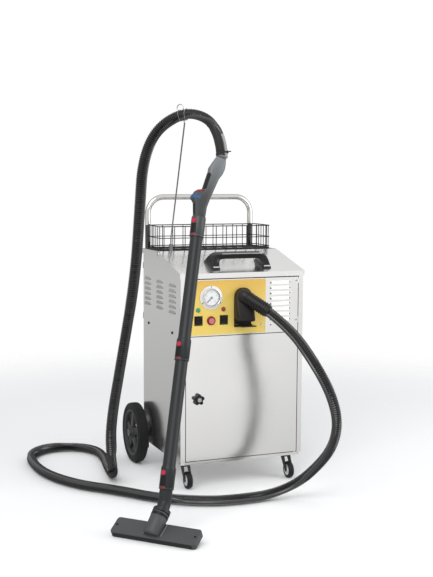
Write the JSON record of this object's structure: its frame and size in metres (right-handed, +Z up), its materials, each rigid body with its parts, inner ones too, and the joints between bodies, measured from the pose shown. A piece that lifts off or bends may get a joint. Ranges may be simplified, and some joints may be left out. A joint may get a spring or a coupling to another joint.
{
  "type": "steam vacuum cleaner",
  "caption": "Wheeled steam vacuum cleaner: steel cabinet with yellow control panel, wire basket, push handle, and a hose to a gun, wand and floor tool.",
  "frame": {"origin": "centre of the base pan's underside", "axes": "+Z up, front towards -Y, +X to the right seen from the front; the floor is at Z = -0.090 m"},
  "size_m": [0.9595, 1.2439, 1.3358],
  "materials": {
    "steel": "brushed stainless sheet",
    "yellow_plate": "satin yellow",
    "black_wire": "black powder coat",
    "chrome_tube": "polished",
    "dark_plastic": "fine grain",
    "grey_plastic": "fine grain",
    "pale_plastic": "satin",
    "red_plastic": "gloss",
    "blue_plastic": "gloss",
    "green_lens": "gloss",
    "hose_plastic": "ribbed",
    "tyre_rubber": "matt",
    "brass_fitting": "machined",
    "clear_glass": "clear",
    "tank_plastic": "translucent",
    "motor_alloy": "cast",
    "board_plastic": "laminate"
  },
  "bodies": {
    "cabinet": {"base_pan": "steel", "left_side_panel": "steel", "right_side_panel": "steel", "rear_panel": "steel", "top_deck": "steel", "control_panel": "steel", "inner_shelf": "steel", "boiler": "steel", "yellow_fascia": "yellow_plate", "panel_screws": "steel", "safety_valve": "brass_fitting", "solenoid_valve": "brass_fitting", "steam_pipe": "brass_fitting", "water_tank": "tank_plastic", "feed_pump": "motor_alloy", "vacuum_motor": "motor_alloy", "suction_duct": "grey_plastic", "recovery_tank": "tank_plastic", "control_board": "board_plastic", "drain_tap": "brass_fitting", "cable_gland": "dark_plastic", "push_handle": "chrome_tube", "handle_clamps": "dark_plastic", "wire_basket": "black_wire", "hanger_rod": "steel", "hose_rings": "steel", "rear_axle": "steel", "gauge_case": "dark_plastic", "gauge_glass": "clear_glass", "pilot_lamps": "green_lens", "switch_bezels": "dark_plastic", "hose_socket": "dark_plastic", "hose_plug": "dark_plastic", "vacuum_hose": "hose_plastic", "gun_body": "grey_plastic", "upper_tube": "grey_plastic", "lower_tube": "grey_plastic", "floor_elbow": "grey_plastic"},
    "left_wheel": {"left_wheel": "tyre_rubber"},
    "right_wheel": {"right_wheel": "tyre_rubber"},
    "left_caster": {"left_caster_fork": "steel"},
    "left_caster_roller": {"left_caster_wheel": "tyre_rubber"},
    "right_caster": {"right_caster_fork": "steel"},
    "right_caster_roller": {"right_caster_wheel": "tyre_rubber"},
    "door": {"door_panel": "steel"},
    "door_knob": {"door_knob": "dark_plastic"},
    "lid": {"lid_panel": "steel", "lid_handle": "dark_plastic"},
    "gauge_needle": {"gauge_needle": "black_wire"},
    "left_rocker": {"left_rocker": "red_plastic"},
    "right_rocker": {"right_rocker": "green_lens"},
    "push_button": {"push_button": "red_plastic"},
    "socket_flap": {"socket_flap": "dark_plastic"},
    "steam_button": {"steam_button": "red_plastic"},
    "vacuum_button": {"vacuum_button": "blue_plastic"},
    "gun_lock": {"gun_lock": "red_plastic"},
    "middle_lock": {"middle_lock": "red_plastic"},
    "floor_lock": {"floor_lock": "red_plastic"},
    "floor_tool": {"floor_nozzle": "grey_plastic", "nozzle_bristles": "dark_plastic"}
  },
  "joints": [
    {"name": "left_wheel_spin", "type": "hinge", "parent": "cabinet", "child": "left_wheel", "pos_m": [-0.26, 0.222, 0.023], "axis": [1, 0, 0], "continuous": true},
    {"name": "right_wheel_spin", "type": "hinge", "parent": "cabinet", "child": "right_wheel", "pos_m": [0.26, 0.222, 0.023], "axis": [1, 0, 0], "continuous": true},
    {"name": "left_caster_swivel", "type": "hinge", "parent": "cabinet", "child": "left_caster", "pos_m": [-0.194, -0.156, -0.009], "axis": [0, 0, 1], "continuous": true},
    {"name": "left_caster_spin", "type": "hinge", "parent": "left_caster", "child": "left_caster_roller", "pos_m": [-0.194, -0.184, -0.06], "axis": [1, 0, 0], "continuous": true},
    {"name": "right_caster_swivel", "type": "hinge", "parent": "cabinet", "child": "right_caster", "pos_m": [0.194, -0.156, -0.009], "axis": [0, 0, 1], "continuous": true},
    {"name": "right_caster_spin", "type": "hinge", "parent": "right_caster", "child": "right_caster_roller", "pos_m": [0.194, -0.184, -0.06], "axis": [1, 0, 0], "continuous": true},
    {"name": "door_hinge", "type": "hinge", "parent": "cabinet", "child": "door", "pos_m": [0.2055, -0.203, 0.229], "axis": [0, 0, 1], "range_deg": [0, 60]},
    {"name": "door_knob_turn", "type": "hinge", "parent": "door", "child": "door_knob", "pos_m": [-0.166, -0.208, 0.22925], "axis": [0, 1, 0], "range_deg": [0, 90]},
    {"name": "lid_hinge", "type": "hinge", "parent": "cabinet", "child": "lid", "pos_m": [0, 0.022, 0.71699], "axis": [-1, 0, 0], "range_deg": [0, 70]},
    {"name": "gauge_needle_turn", "type": "hinge", "parent": "cabinet", "child": "gauge_needle", "pos_m": [-0.1195, -0.214, 0.581], "axis": [0, 1, 0], "range_deg": [0, 270], "stiffness_Nm_per_rad": 0.002},
    {"name": "left_rocker_tilt", "type": "hinge", "parent": "cabinet", "child": "left_rocker", "pos_m": [-0.166, -0.204, 0.502], "axis": [-1, 0, 0], "range_deg": [0, 18]},
    {"name": "right_rocker_tilt", "type": "hinge", "parent": "cabinet", "child": "right_rocker", "pos_m": [-0.0725, -0.204, 0.502], "axis": [-1, 0, 0], "range_deg": [0, 18]},
    {"name": "push_button_press", "type": "slide", "parent": "cabinet", "child": "push_button", "axis": [0, 1, 0], "range_m": [0, 0.004], "stiffness_N_per_m": 300},
    {"name": "socket_flap_hinge", "type": "hinge", "parent": "cabinet", "child": "socket_flap", "pos_m": [-0.003, -0.221, 0.48], "axis": [1, 0, 0], "range_deg": [0, 60], "stiffness_Nm_per_rad": 0.03, "springref_deg": -28.65},
    {"name": "steam_button_press", "type": "slide", "parent": "cabinet", "child": "steam_button", "axis": [0.102, -0.2224, -0.9696], "range_m": [0, 0.003], "stiffness_N_per_m": 300},
    {"name": "vacuum_button_press", "type": "slide", "parent": "cabinet", "child": "vacuum_button", "axis": [0.9792, -0.0453, -0.1976], "range_m": [0, 0.003], "stiffness_N_per_m": 300},
    {"name": "gun_lock_press", "type": "slide", "parent": "cabinet", "child": "gun_lock", "axis": [0.8021, 0.5219, -0.2901], "range_m": [0, 0.0025], "stiffness_N_per_m": 400},
    {"name": "middle_lock_press", "type": "slide", "parent": "cabinet", "child": "middle_lock", "axis": [0.8021, 0.5219, -0.2901], "range_m": [0, 0.0025], "stiffness_N_per_m": 400},
    {"name": "floor_lock_press", "type": "slide", "parent": "cabinet", "child": "floor_lock", "axis": [0.8021, 0.5219, -0.2901], "range_m": [0, 0.0025], "stiffness_N_per_m": 400},
    {"name": "floor_tool_swivel", "type": "hinge", "parent": "cabinet", "child": "floor_tool", "pos_m": [-0.44254, -0.62781, -0.01573], "axis": [0.5174, 0.4962, 0.6972], "range_deg": [-45, 45]}
  ]
}
